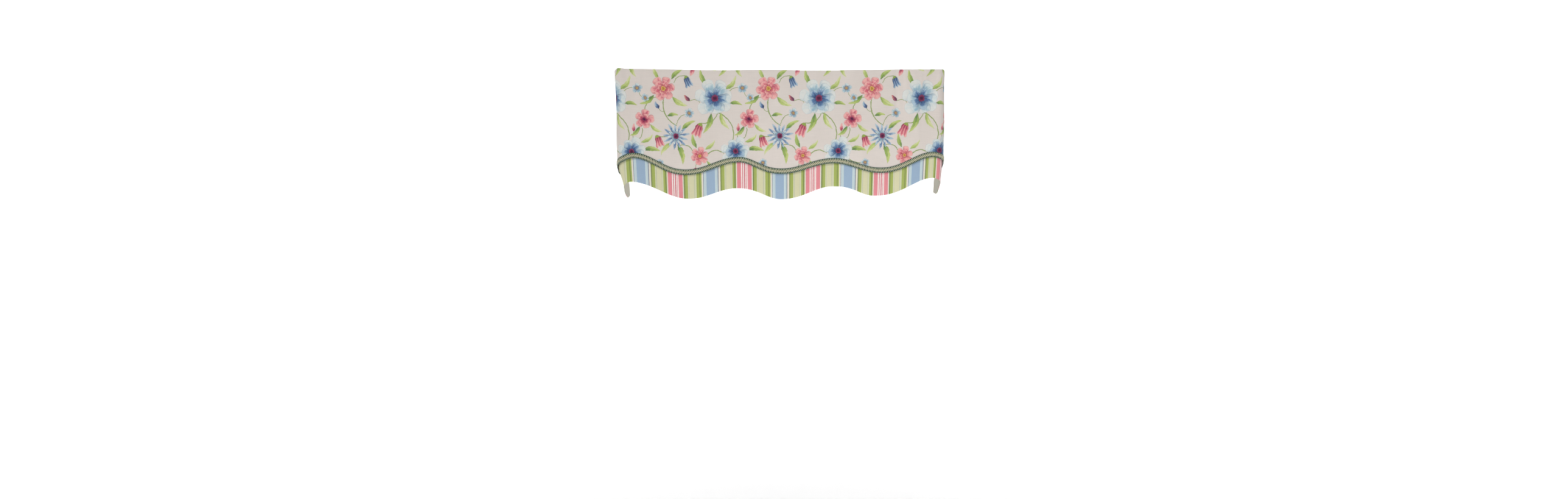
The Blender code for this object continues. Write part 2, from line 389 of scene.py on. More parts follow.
def note(piece, name, values):
    """Writes what each point knows of itself, for the shaders."""
    attribute = piece.data.attributes.new(name, "FLOAT_VECTOR", "POINT")
    attribute.data.foreach_set("vector", values.ravel())


def closed_sheet(name, sheet_of):
    """One closed piece of cloth, which knows each point's flat place and which face it is on."""
    along = stations()
    outer, inner, flat = sheet_of(along)
    count = flat.size
    index = np.arange(count).reshape(flat.shape)
    front = stacked(index[:-1, :-1], index[:-1, 1:], index[1:, 1:], index[1:, :-1]).reshape(-1, 4)
    border = np.hstack([index[0, :-1], index[:-1, -1], index[-1, :0:-1], index[:0:-1, 0]])
    following = np.roll(border, -1)
    rim = stacked(following, border, border + count, following + count)
    faces = np.vstack([front, front[:, ::-1] + count, rim])
    piece = mesh_object(name, [outer, inner], faces.tolist())
    cloth = stacked(along, flat, 1.0)
    note(piece, "cloth", np.stack([cloth, cloth * (1, 1, 0)]))
    piece.data.uv_layers.new(name="OFBake").data.foreach_set("uv", bake_places(faces, along, flat).ravel())
    return piece


def off_panel(along, height, drop):
    """Positions of points at a height off the printed panel's face."""
    return place(along, top_panel_hang(along, drop) + PANEL_FACE + GAP + height, drop)


def length_along(line):
    """The length of a line of points up to each of them."""
    steps = np.linalg.norm(np.diff(line, axis=-2), axis=-1)
    return np.insert(np.cumsum(steps, axis=-1), 0, 0, axis=-1)


def braid_rail():
    """Where along the cloth the braid's middle line is, and the length of braid up to there."""
    along = np.linspace(-CLOTH_END, CLOTH_END, RAIL_STEPS)
    return along, length_along(off_panel(along, RAIL_HEIGHT, eased(BRAID_WAVE, along)))


def on_braid(points):
    """Positions of points given by the length of braid, the way down across it and their height."""
    run, across, height = np.moveaxis(points, -1, 0)
    along, length = braid_rail()
    middle = np.interp(run, length, along)
    before, level, after = (eased(BRAID_WAVE, middle + n * SLOPE_STEP) for n in (-1, 0, 1))
    behind, ahead = (off_panel(middle + n * WIDTH_STEP, RAIL_HEIGHT, BRAID_LEVEL) for n in (-1, 1))
    widened = np.linalg.norm(ahead - behind, axis=-1) / (2 * WIDTH_STEP)
    slope = (after - before) / (2 * SLOPE_STEP) / widened
    square = 1 / np.hypot(1, slope)
    line = middle - across * slope * square / widened
    return off_panel(line, height, level + across * square)


def skin(name, rings, yarn):
    """Closed skins over rows of rings of points on the braid: an array of tubes, rings and sides."""
    tubes, count, sides = rings.shape[:3]
    index = np.arange(tubes * count * sides).reshape(tubes, count, sides)
    beside = np.roll(index, -1, axis=2)
    walls = stacked(index[:, :-1], beside[:, :-1], beside[:, 1:], index[:, 1:]).reshape(-1, 4)
    caps = np.vstack([index[:, 0, ::-1], index[:, -1]])
    piece = mesh_object(name, on_braid(rings), walls.tolist() + caps.tolist())
    note(piece, "yarn", yarn)
    return piece


def yarns(name, lines, radius, sides, chance):
    """Round yarns along lines of points on the braid, which know their length, round and own chance."""
    ahead = np.gradient(lines, axis=1)
    ahead /= np.linalg.norm(ahead, axis=-1, keepdims=True)
    aside = np.cross(ahead, (0, 0, 1))
    aside /= np.linalg.norm(aside, axis=-1, keepdims=True)
    above = np.cross(aside, ahead)
    turn = (2 * np.pi * np.arange(sides) / sides)[:, None]
    spokes = np.cos(turn) * aside[:, :, None] + np.sin(turn) * above[:, :, None]
    rings = lines[:, :, None] + (radius + 0 * lines[:, :, 0])[:, :, None, None] * spokes
    around = np.abs(2 * np.arange(sides) / sides - 1)
    yarn = stacked(length_along(lines)[:, :, None], around, np.asarray(chance)[:, None, None])
    return skin(name, rings, yarn)


def braid_length():
    return braid_rail()[1][-1]


def braid_band():
    """The woven ground of the braid, which shows dark between its yarns."""
    length = braid_length()
    run = np.linspace(0, length, round(length / BAND_STEP))[:, None]
    share, height = np.transpose(BAND_SECTION)
    across = share * BRAID_WIDTH / 2
    return skin("braid_band", stacked(run, across, height)[None], stacked(run, across, 0.5)[None])


def twisted_cords(name, cords):
    """Two-ply cords along the braid."""
    lines = []
    length = braid_length()
    for cord in cords:
        run = np.linspace(0, length, round(length / cord.lay * PLY_STEPS))
        for ply in (0, 1):
            turn = 2 * np.pi * run / cord.lay + np.pi * ply
            reach = cord.ply * PLY_SPREAD
            line = stacked(run, cord.across + reach * np.cos(turn), cord.height + reach * np.sin(turn))
            lines.append(line)
    tints = [cord.tint + ply * PLY_TINT for cord in cords for ply in (-1, 1)]
    return yarns(name, np.array(lines), cords[0].ply, PLY_SIDES, tints)


def braid_strands():
    """Pairs of pale yarns in rows: slanting stitches over the middle cords, and picots at both edges."""
    chance = np.random.default_rng(STRAND_SEED)
    length = braid_length()
    pairs = int((length - STRAND_PITCH) / STRAND_PITCH)
    share = np.linspace(-1, 1, STRAND_POINTS)
    arch = 1 - np.abs(share) ** 2.4
    lines = []
    radii = []
    for row in STITCHES:
        round_ends = np.sqrt(np.clip(1.08 - np.abs(share) ** row.bluntness, 0.1, 1))
        for pair in range(pairs):
            middle = (length - pairs * STRAND_PITCH) / 2 + (pair + row.start) * STRAND_PITCH
            middle += chance.uniform(-0.1, 0.1) * STRAND_PITCH
            reach = (row.bottom - row.top) / 2 * chance.uniform(0.96, 1.03)
            across = (row.top + row.bottom) / 2 + reach * share
            for beside in (-1, 1):
                run = middle + row.slant * share + beside * STRAND_RADIUS * (0.9 - 0.3 * arch)
                height = STRAND_LOW + (row.height - STRAND_LOW) * arch
                lines.append(stacked(run, across, height))
                radii.append(STRAND_RADIUS * (0.9 + 0.25 * np.abs(share) ** 3) * round_ends)
    own_chance = chance.uniform(0, 1, len(lines))
    return yarns("braid_strands", np.array(lines), np.array(radii), STRAND_SIDES, own_chance)


class Field:
    """A value in a material's node graph. Each sum, step or the like adds the node that works it out."""

    def __init__(self, graph, socket):
        self.graph = graph
        self.socket = socket

    def math(self, operation, *others):
        return self.graph.math(operation, self, *others)

    def __add__(self, other):
        return self.math("ADD", other)

    def __sub__(self, other):
        return self.math("SUBTRACT", other)

    def __rsub__(self, other):
        return self.graph.math("SUBTRACT", other, self)

    def __mul__(self, other):
        return self.math("MULTIPLY", other)

    def __truediv__(self, other):
        return self.math("DIVIDE", other)

    def __abs__(self):
        return self.math("ABSOLUTE")

    def larger(self, other):
        return self.math("MAXIMUM", other)

    def smaller(self, other):
        return self.math("MINIMUM", other)

    def chance(self):
        """A chance number from 0 to 1 for each whole value."""
        return ((self * 78.233 + 1.7).math("SINE") * 437.585).math("FRACT")

    def smooth(self, low, high, first=0.0, last=1.0):
        """A smooth step from a first level to a last one as the value goes from low to high."""
        ends = {0: self, 1: low, 2: high, 3: first, 4: last}
        return self.graph.node("MapRange", ends, interpolation_type="SMOOTHSTEP", clamp=False)

    def fade(self, low, high):
        return self.smooth(low, high, 1.0, 0.0)

    def curve(self, points):
        """A smooth curve through points from 0 to 1."""
        field = self.graph.node("FloatCurve", {0: 1.0, 1: self})
        mapping = field.socket.node.mapping
        line = mapping.curves[0]
        while len(line.points) < len(points):
            line.points.new(1.0, 0.0)
        for point, (share, height) in zip(line.points, points):
            point.location = (share, height)
        mapping.update()
        return field


class Graph:
    """A material's node graph, written as formulas."""

    def __init__(self, tree):
        self.tree = tree

    def node(self, kind, inputs, output=0, **settings):
        """Adds a node. Its inputs are given by number or name, as fields or as plain values."""
        made = self.tree.nodes.new("ShaderNode" + kind)
        for setting, value in settings.items():
            setattr(made, setting, value)
        for key, value in inputs.items():
            if isinstance(value, Field):
                self.tree.links.new(value.socket, made.inputs[key])
            else:
                made.inputs[key].default_value = value
        return Field(self, made.outputs[output])

    def math(self, operation, *values):
        return self.node("Math", dict(enumerate(values)), operation=operation)

    def vector(self, operation, *values):
        output = 1 if operation == "DOT_PRODUCT" else 0
        return self.node("VectorMath", dict(enumerate(values)), output, operation=operation)

    def split(self, vector):
        """A vector's first two parts."""
        return [self.vector("DOT_PRODUCT", vector, axis) for axis in ((1.0, 0.0, 0.0), (0.0, 1.0, 0.0))]

    def join(self, across, up=0.0, out=0.0):
        return self.node("CombineXYZ", {0: across, 1: up, 2: out})

    def mix(self, under, over, share):
        """One colour laid over another."""
        return self.node("Mix", {0: share, 6: under, 7: over}, 2, data_type="RGBA")

    def ramp(self, value, stops):
        """A colour that changes at once at each stop, which is a share from 0 to 1 and a colour."""
        field = self.node("ValToRGB", {0: value})
        ramp = field.socket.node.color_ramp
        ramp.interpolation = "CONSTANT"
        while len(ramp.elements) < len(stops):
            ramp.elements.new(1.0)
        for element, (share, colour) in zip(ramp.elements, stops):
            element.position = share
            element.color = colour
        return field

    def use(self, group, **inputs):
        """Adds a node group, with its inputs by name."""
        return self.node("Group", inputs, node_tree=group)

    def noise(self, dimensions, size, detail, output=0, **place):
        """Smooth noise with blots of about a given size, in the units of its place."""
        inputs = {"Scale": 1 / size, "Detail": detail, **place}
        return self.node("TexNoise", inputs, output, noise_dimensions=dimensions)


def motif_group(name, numbers, write):
    """A node group that paints a motif; write gets its inputs as fields and gives back its colour."""
    tree = bpy.data.node_groups.new(name, "ShaderNodeTree")
    colours = "under deep middle pale line"
    sockets = {"Color": colours, "Vector": "spot at ahead left", "Float": "blot fine " + numbers}
    for kind, names in sockets.items():
        for socket in names.split():
            tree.interface.new_socket(socket, in_out="INPUT", socket_type="NodeSocket" + kind)
    tree.interface.new_socket("result", in_out="OUTPUT", socket_type="NodeSocketColor")
    graph = Graph(tree)
    given = tree.nodes.new("NodeGroupInput")
    fields = {socket.name: Field(graph, socket) for socket in given.outputs[:-1]}
    result = write(graph, SimpleNamespace(**fields))
    tree.links.new(result.socket, tree.nodes.new("NodeGroupOutput").inputs[0])
    return tree


def ink(red, green, blue):
    """A colour as shaders take it, from its usual numbers from 0 to 255."""
    shares = [part / 255 for part in (red, green, blue)]
    linear = [((share + 0.055) / 1.055) ** 2.4 if share > 0.04045 else share / 12.92 for share in shares]
    return *linear, 1.0


# The print: measures in millimetres, up and to the right; turns in degrees, counted from the right
REPEAT_ACROSS = 348.0
REPEAT_UP = 328.0
PRINT_SHIFT = (40.0, 0.0)
COVER = 0.94
STAMENS = 19
HEART_SHARE = 0.19

Inks = namedtuple("Inks", "deep middle pale line")
Ring = namedtuple("Ring", "petals reach uneven spin edge inks")
Bloom = namedtuple("Bloom", "rings across up turn radius heart")
Leaf = namedtuple("Leaf", "across up turn length width bow inks")
Stem = namedtuple("Stem", "from_across from_up to_across to_up bow width")
Bell = namedtuple("Bell", "across up turn length inks")

BLUE = Inks(ink(38, 60, 102), ink(88, 120, 162), ink(172, 194, 208), ink(34, 50, 84))
AQUA = Inks(ink(80, 116, 150), ink(150, 182, 196), ink(212, 220, 218), ink(64, 94, 126))
GLAZE = Inks(ink(150, 176, 192), ink(204, 214, 214), ink(219, 221, 216), ink(120, 146, 166))
CORAL = Inks(ink(150, 44, 78), ink(210, 106, 122), ink(236, 176, 170), ink(124, 44, 74))
PLUM = Inks(ink(76, 28, 60), ink(138, 60, 92), ink(206, 128, 120), ink(58, 24, 50))
GOLD = Inks(ink(176, 126, 60), ink(222, 184, 104), ink(240, 216, 160), ink(120, 84, 50))
GREEN = Inks(ink(92, 130, 66), ink(146, 172, 84), ink(190, 202, 120), ink(96, 126, 70))
FRESH = Inks(ink(140, 166, 84), ink(182, 198, 112), ink(212, 216, 158), ink(128, 152, 84))
STEM_INK = ink(138, 158, 90)

# Outlines: a petal's reach from its middle to its side, a leaf's or bell's half width from its foot on
ROUND = ((0.0, 1.0), (0.45, 0.97), (0.75, 0.86), (0.92, 0.68), (1.0, 0.45))
POINTED = ((0.0, 1.0), (0.2, 0.92), (0.5, 0.74), (0.8, 0.52), (1.0, 0.34))
LEAF_EDGE = ((0.0, -0.06), (0.1, 0.42), (0.38, 1.0), (0.7, 0.72), (1.0, -0.06))
BELL_EDGE = ((0.0, -0.06), (0.08, 0.4), (0.35, 0.66), (0.62, 0.72), (0.85, 0.9), (1.0, 1.0))

ANEMONE = (
    Ring(7, 1.14, 0.26, 0.04, ROUND, GLAZE),
    Ring(6, 0.94, 0.16, 0.08, ROUND, AQUA),
    Ring(5, 0.7, 0.2, 0.0, ROUND, BLUE),
)
ROSE = (
    Ring(6, 1.0, 0.12, 0.05, ROUND, CORAL),
    Ring(5, 0.76, 0.14, 0.13, ROUND, CORAL),
    Ring(4, 0.5, 0.16, 0.02, ROUND, CORAL),
)
POPPY = (
    Ring(5, 1.0, 0.14, 0.03, ROUND, CORAL),
    Ring(4, 0.66, 0.16, 0.11, ROUND, CORAL),
)
ASTER = (
    Ring(13, 1.0, 0.18, 0.03, POINTED, BLUE),
    Ring(10, 0.66, 0.2, 0.06, POINTED, AQUA),
)
STARLET = (Ring(5, 1.0, 0.1, 0.0, ROUND, AQUA),)

BLOOMS = (
    Bloom(ANEMONE, 84, 236, 0, 60, PLUM), Bloom(ROSE, 262, 268, 20, 43, GOLD),
    Bloom(ASTER, 300, 112, 0, 48, PLUM), Bloom(ANEMONE, 150, 62, 50, 48, PLUM),
    Bloom(ROSE, 30, 46, -30, 32, GOLD), Bloom(POPPY, 196, 168, 65, 35, PLUM),
    Bloom(STARLET, 176, 270, 10, 18, GOLD), Bloom(STARLET, 202, 238, 40, 14, GOLD),
    Bloom(STARLET, 346, 188, 0, 17, GOLD), Bloom(STARLET, 242, 22, 25, 16, GOLD),
)

BELLS = (
    Bell(36, 156, -112, 46, CORAL),
    Bell(236, 116, -72, 40, CORAL),
    Bell(336, 308, -68, 36, BLUE),
)

LEAVES = (
    Leaf(70, 190, -112, 74, 20, 9, GREEN), Leaf(102, 190, -62, 62, 17, -8, FRESH),
    Leaf(62, 278, 116, 58, 17, 7, GREEN), Leaf(116, 264, 50, 62, 17, -8, FRESH),
    Leaf(132, 220, -8, 44, 14, 5, GREEN), Leaf(232, 248, -150, 58, 17, 7, GREEN),
    Leaf(290, 242, -30, 60, 18, -7, FRESH), Leaf(290, 296, 42, 50, 16, 6, GREEN),
    Leaf(250, 300, 112, 46, 14, 5, FRESH), Leaf(303, 86, -76, 72, 20, 8, GREEN),
    Leaf(288, 90, -134, 58, 16, -7, FRESH), Leaf(320, 130, 34, 58, 16, 7, GREEN),
    Leaf(188, 66, -4, 60, 18, 7, GREEN), Leaf(182, 92, 34, 50, 15, -6, FRESH),
    Leaf(124, 32, -116, 58, 18, 7, GREEN), Leaf(158, 24, -70, 50, 15, -6, FRESH),
    Leaf(22, 72, 104, 56, 16, 6, GREEN), Leaf(48, 68, 44, 46, 14, -5, FRESH),
    Leaf(54, 30, -42, 50, 15, -6, FRESH), Leaf(180, 146, -136, 46, 15, 6, GREEN),
    Leaf(216, 152, -34, 46, 14, -5, FRESH), Leaf(271, 178, 4, 40, 13, 5, GREEN),
)

BUDS = (
    Leaf(246, 203, 118, 27, 14, 1, BLUE), Leaf(16, 8, -112, 30, 16, 1, CORAL),
    Leaf(2, 228, 138, 28, 14, 1, PLUM), Leaf(160, 128, 84, 27, 14, 1, CORAL),
)

STEMS = (
    Stem(88, 190, 142, 100, 22, 3.6), Stem(262, 232, 304, 146, -17, 3.6),
    Stem(200, 194, 240, 240, 12, 3), Stem(36, 156, 92, 190, -14, 3),
    Stem(236, 116, 286, 128, -12, 2.8), Stem(304, 78, 358, 58, 14, 3.2),
    Stem(54, 50, 112, 54, 12, 3.2), Stem(128, 254, 176, 268, 9, 2.6),
    Stem(202, 238, 182, 262, 6, 2.2), Stem(188, 140, 168, 100, 9, 3),
    Stem(246, 203, 266, 196, -5, 2.4), Stem(160, 128, 160, 98, -3, 2.4),
    Stem(16, 8, 26, 28, 3, 2.4), Stem(2, 228, 34, 222, 6, 2.4),
    Stem(304, 150, 340, 184, 10, 2.6), Stem(336, 308, 298, 286, -9, 2.6),
    Stem(176, 46, 240, 24, -10, 2.6),
)


def motif_place(graph, its):
    """How far ahead and to the left of a motif's own point a place lies, the same in every repeat."""
    half = (REPEAT_ACROSS / 2, REPEAT_UP / 2, 0.5)
    moved = graph.vector("SUBTRACT", its.spot, its.at)
    moved = graph.vector("WRAP", moved, half, tuple(-part for part in half))
    return graph.vector("DOT_PRODUCT", moved, its.ahead), graph.vector("DOT_PRODUCT", moved, its.left)


def toned(graph, its, tone):
    """An ink between deep, middle and pale as its tone goes from 0 to 1."""
    colour = graph.mix(its.deep, its.middle, tone.smooth(0.16, 0.56))
    return graph.mix(colour, its.pale, tone.smooth(0.56, 0.94))


def washes(graph, spot):
    """Watery unevenness of the inks, which repeats with the print: noise on a ring each way."""
    parts = []
    for part, repeat in zip(graph.split(spot), (REPEAT_ACROSS, REPEAT_UP)):
        turn = part * (2 * math.pi / repeat)
        parts += [turn.math(side) * (repeat / (2 * math.pi)) for side in ("COSINE", "SINE")]
    noise = partial(graph.noise, "4D", Vector=graph.join(*parts[:3]), W=parts[3])
    wander = graph.vector("SUBTRACT", noise(16.0, 2.0, 1), (0.5, 0.5, 0.5))
    flat = graph.vector("MULTIPLY", wander, (7.0, 7.0, 0.0))
    return {"blot": noise(15.0, 2.0), "fine": noise(3.2, 1.0), "spot": graph.vector("ADD", spot, flat)}


def paint_petals(graph, its, outline):
    """A ring of petals, each of its own length, shaded from its base and from its neighbour."""
    across, up = motif_place(graph, its)
    reach = (across * across + up * up).math("SQRT")
    share = (up.math("ARCTAN2", across) * (0.5 / math.pi) + 0.5).math("FRACT")
    count = share * its.petals
    petal = count.math("FLOOR")
    beside = count - petal - 0.5
    length = 1 - (petal + its.radius).chance() * its.uneven
    edge = (abs(beside) * 2).curve(outline) * length * its.radius + (its.fine - 0.5) * 2.4
    depth = edge - reach
    streak = graph.noise("1D", 1.0, 1.0, W=count * 6 + petal * 9 + reach * 0.05)
    tone = reach / edge + (streak - 0.5) * 0.5 + (its.blot - 0.5) * 0.9
    colour = toned(graph, its, tone)
    colour = graph.mix(colour, its.deep, beside.smooth(0.12, 0.5) * 0.5)
    seam = (0.5 - abs(beside)) * reach / its.petals * (2 * math.pi)
    line = depth.fade(0.2, 1.2).larger(seam.fade(0.1, 0.9))
    colour = graph.mix(colour, its.line, line * (its.fine * 0.8 + 0.3))
    return graph.mix(its.under, colour, depth.smooth(0.0, 0.6) * COVER)


def paint_heart(graph, its):
    """A flower's middle: a soft disc and a ring of stamens on fine threads."""
    across, up = motif_place(graph, its)
    reach = (across * across + up * up).math("SQRT")
    count = (up.math("ARCTAN2", across) * (0.5 / math.pi) + 0.5) * STAMENS
    stamen = count.math("FLOOR")
    beside = (count - stamen - 0.5) * reach * (2 * math.pi / STAMENS)
    past_tip = reach - ((stamen + its.radius).chance() * 0.5 + 1.5) * its.radius
    thread = abs(beside).fade(0.1, 0.45) * past_tip.fade(0.0, 0.5)
    under = graph.mix(its.under, its.line, thread * 0.6)
    dot = (beside * beside + past_tip * past_tip).math("SQRT").fade(0.5, 1.1)
    under = graph.mix(under, its.deep, dot)
    tone = reach / its.radius + (its.fine - 0.5) * 0.8
    return graph.mix(under, toned(graph, its, tone * 0.6), tone.fade(0.85, 1.1))


def paint_leaf(graph, its):
    """A leaf, or a bud with leaf-like veins, from its foot along its own bowed line."""
    along, aside = motif_place(graph, its)
    share = along / its.length
    aside = aside + share * (share - 1) * its.bow * 4
    depth = share.curve(LEAF_EDGE) * its.width * (its.fine * 0.22 + 0.33) - abs(aside)
    tone = share + (its.blot - 0.5) * 0.9 + aside.smooth(-0.4, 0.4) * 0.28
    vein = abs(((along - abs(aside) * 1.4) * (1 / 4.5)).math("FRACT") - 0.5) * 4.5
    line = (vein.fade(0.1, 0.5) * 0.35).larger(abs(aside).fade(0.1, 0.5) * 0.7)
    line = line.larger(depth.fade(0.1, 0.7) * 0.6)
    colour = graph.mix(toned(graph, its, tone), its.line, line * its.fine)
    return graph.mix(its.under, colour, depth.smooth(0.0, 0.5) * COVER)


def paint_bell(graph, its):
    """A hanging bell seen from the side: ribbed, with a wavy mouth and a green cap."""
    along, aside = motif_place(graph, its)
    half_width = (along / its.length).curve(BELL_EDGE) * its.length * 0.42
    side = aside / half_width.larger(1.0)
    mouth = (side * (3 * math.pi)).math("COSINE") * 2.4 + its.length - along
    depth = (half_width - abs(aside)).smaller(mouth) + (its.fine - 0.5)
    rib = (side * (3 * math.pi)).math("SINE")
    tone = along / its.length * 0.9 + rib * 0.22 + (its.blot - 0.5) * 0.8
    line = (abs(rib).fade(0.0, 0.16) * 0.6).larger(depth.fade(0.2, 1.0))
    colour = graph.mix(toned(graph, its, tone), its.line, line * its.fine)
    under = graph.mix(its.under, colour, depth.smooth(0.0, 0.6) * COVER)
    cap = (along + 2.0).smaller(half_width * 0.9 - abs(aside))
    cap = cap.smaller(its.length * 0.2 - along + rib)
    return graph.mix(under, GREEN.middle, cap.smooth(0.0, 0.5) * COVER)


def paint_stem(graph, its):
    """A stem: an arc of a circle's edge round its point ahead, half a chord to each side of it."""
    ahead, left = motif_place(graph, its)
    reach = (ahead * ahead + left * left).math("SQRT")
    off = abs(reach - its.radius) - its.width * (its.fine * 0.4 + 0.3)
    ends = abs(left).fade(its.half_chord - 0.6, its.half_chord)
    cover = off.fade(-0.5, 0.0) * (ends * ahead.smooth(0.0, 1.0)) * COVER
    return graph.mix(its.under, its.line, cover)


def stem_inputs(row):
    """A stem's circle, from its two ends and how far it bows to its left."""
    start, end = np.reshape(row[:4], (2, 2))
    run = end - start
    half_chord = np.hypot(*run) / 2
    ahead = np.array([-run[1], run[0]]) / half_chord / 2 * np.sign(row.bow)
    radius = (half_chord**2 + row.bow**2) / (2 * abs(row.bow))
    at = (start + end) / 2 - ahead * (radius - abs(row.bow))
    turn = math.atan2(ahead[1], ahead[0])
    return {**placed(at, turn), "radius": radius, "width": row.width, "half_chord": half_chord}


def placed(at, turn):
    """A motif's own point and turn, as a node group's inputs."""
    ahead = (math.cos(turn), math.sin(turn), 0.0)
    return {"at": (*at, 0.0), "ahead": ahead, "left": (-ahead[1], ahead[0], 0.0)}


def printed_colour(graph, spot, ground):
    """The whole print, painted over the cloth's ground from the stems up to the blooms."""
    wash = washes(graph, spot)
    stem = motif_group("stem", "radius width half_chord", paint_stem)
    leaf = motif_group("leaf", "length width bow", paint_leaf)
    bell = motif_group("bell", "length", paint_bell)
    heart = motif_group("heart", "radius", paint_heart)
    rings = {}
    for edge in (ROUND, POINTED):
        paint = partial(paint_petals, outline=edge)
        rings[edge] = motif_group("petals", "petals radius uneven", paint)

    def painted(under, group, row, inks, spin=0.0, **sizes):
        there = placed((row.across, row.up), math.radians(row.turn + 360 * spin))
        return graph.use(group, under=under, **wash, **inks._asdict(), **there, **sizes)

    colour = ground
    for row in STEMS:
        colour = graph.use(stem, under=colour, line=STEM_INK, **wash, **stem_inputs(row))
    for row in LEAVES + BUDS:
        colour = painted(colour, leaf, row, row.inks, length=row.length, width=row.width, bow=row.bow)
    for row in BELLS:
        colour = painted(colour, bell, row, row.inks, length=row.length)
    for row in BLOOMS:
        for ring in row.rings:
            sizes = {"petals": ring.petals, "radius": row.radius * ring.reach, "uneven": ring.uneven}
            colour = painted(colour, rings[ring.edge], row, ring.inks, ring.spin, **sizes)
        colour = painted(colour, heart, row, row.heart, radius=row.radius * HEART_SHARE)
    return colour


# The woven stripe
SKY = ink(157, 180, 203)
MIST = ink(200, 215, 218)
FOAM = ink(190, 207, 209)
NAVY = ink(128, 138, 156)
CREAM = ink(227, 221, 208)
MOSS = ink(128, 142, 86)
LIME = ink(167, 180, 98)
CHALK = ink(212, 212, 180)
DOVE = ink(190, 192, 168)
STRAW = ink(215, 212, 174)
MILK = ink(246, 236, 230)
PINK = ink(229, 144, 151)
ROSY = ink(212, 116, 128)

# Each stripe's ink and its width, once through the repeat
STRIPES = (
    (SKY, 28.8), (MIST, 4.6), (FOAM, 1.7), (MIST, 3.3), (NAVY, 2.1), (CREAM, 6.4), (MOSS, 3.5),
    (LIME, 10.2), (CHALK, 4.1), (DOVE, 1.4), (STRAW, 16.8), (DOVE, 1.2), (CHALK, 4.6), (LIME, 5.7),
    (MOSS, 3.7), (LIME, 2.3), (CREAM, 3.1), (PINK, 14.4), (MILK, 3.5), (ROSY, 2.7),
    (MILK, 4.1), (ROSY, 2.9), (MILK, 2.9), (ROSY, 2.3), (MILK, 3.5), (PINK, 13.3),
    (CREAM, 3.9), (MOSS, 4.3), (LIME, 9.5), (CHALK, 3.2), (DOVE, 1.4), (STRAW, 17.5), (DOVE, 1.4),
    (CHALK, 5.7), (LIME, 10.2), (MOSS, 2.7), (LIME, 4.3), (CREAM, 5.3), (NAVY, 2.1), (MIST, 4.6),
    (FOAM, 1.7), (MIST, 3.5),
)
STRIPE_SHIFT = 23.5
RAMP_STOPS = 21

# The striped cloth is taken in before its right corner, so that the stripes crowd there
TAKEN_IN = 20.0
TAKEN_IN_FROM = 490.0
TAKEN_IN_TO = 545.0

# The printed cloth's face lies outside the plan line, so that it needs more cloth round each corner
ROUNDED_EXTRA = 13.0
ROUNDED_FROM = 528.0
ROUNDED_TO = 567.0

# The cloths' weaves, by their yarns' pitch, and their common gloss
PRINTED_WEAVE = 0.62
STRIPED_WEAVE = 0.58
LINING_WEAVE = 0.5
CLOTH_SPECULAR = 0.25
SHEEN_ROUGHNESS = 0.5


def weave(graph, spot, pitch):
    """The height of a plain weave's yarns, from 0 to 1."""
    across, up = (part * (1 / pitch) for part in graph.split(spot))
    parity = abs((across.math("FLOOR") + up.math("FLOOR")).math("MODULO", 2.0))
    over = abs((across * math.pi).math("SINE"))
    under = abs((up * math.pi).math("SINE"))
    return parity * over + (1 - parity) * under


def stretched_noise(graph, spot, length, thickness, detail=1.0):
    """Noise in streaks along the cloth."""
    place = graph.vector("MULTIPLY", spot, (1 / length, 1 / thickness, 0.0))
    return graph.noise("3D", 1.0, detail, Vector=place)


def stripe_colour(graph, spot):
    """The stripes, in ramps of as many stops as one ramp holds, with a yarn's unevenness at their edges."""
    inks, widths = zip(*STRIPES)
    repeat = sum(widths)
    across, _ = graph.split(spot)
    wander = stretched_noise(graph, spot, 1.2, 9.0) - 0.5
    share = ((across + wander * 0.7 + STRIPE_SHIFT) * (1 / repeat)).math("FRACT")
    starts = np.concatenate([[0], np.cumsum(widths)]) / repeat
    stops = list(zip(starts, inks))
    colour = graph.ramp(share, stops[:RAMP_STOPS])
    for first in range(RAMP_STOPS, len(stops), RAMP_STOPS):
        past = share.math("GREATER_THAN", float(starts[first]))
        colour = graph.mix(colour, graph.ramp(share, stops[first : first + RAMP_STOPS]), past)
    return colour


def cloth_place(graph):
    """A point's flat place, to the right and up, and 1 on the cloth's face or 0 on its back."""
    cloth = graph.node("Attribute", {}, 1, attribute_name="cloth")
    spot = graph.vector("MULTIPLY", cloth, (1000.0, -1000.0, 0.0))
    face = graph.vector("DOT_PRODUCT", cloth, (0.0, 0.0, 1.0))
    return spot, face.smooth(0.4, 0.6)


def principled(name, values):
    """A material, and its shader with values on its sockets."""
    material = bpy.data.materials.new(name)
    material.use_nodes = True
    shader = material.node_tree.nodes["Principled BSDF"]
    for socket, value in values.items():
        shader.inputs[socket].default_value = value
    return material, shader


def fabric(name, paint, roughness, sheen, relief):
    """A cloth material; paint gives its colour and its height, and relief is how deep a height of 1 is."""
    values = {
        "Roughness": roughness,
        "Specular IOR Level": CLOTH_SPECULAR,
        "Sheen Weight": sheen,
        "Sheen Roughness": SHEEN_ROUGHNESS,
    }
    material, shader = principled(name, values)
    graph = Graph(material.node_tree)
    colour, height = paint(graph)
    bump = graph.node("Bump", {"Strength": 1.0, "Distance": relief, "Height": height})
    material.node_tree.links.new(colour.socket, shader.inputs["Base Color"])
    material.node_tree.links.new(bump.socket, shader.inputs["Normal"])
    return material


def shaded(graph, colour, share):
    """A colour made darker or lighter by a field round 1."""
    return graph.vector("MULTIPLY", colour, graph.join(share, share, share))


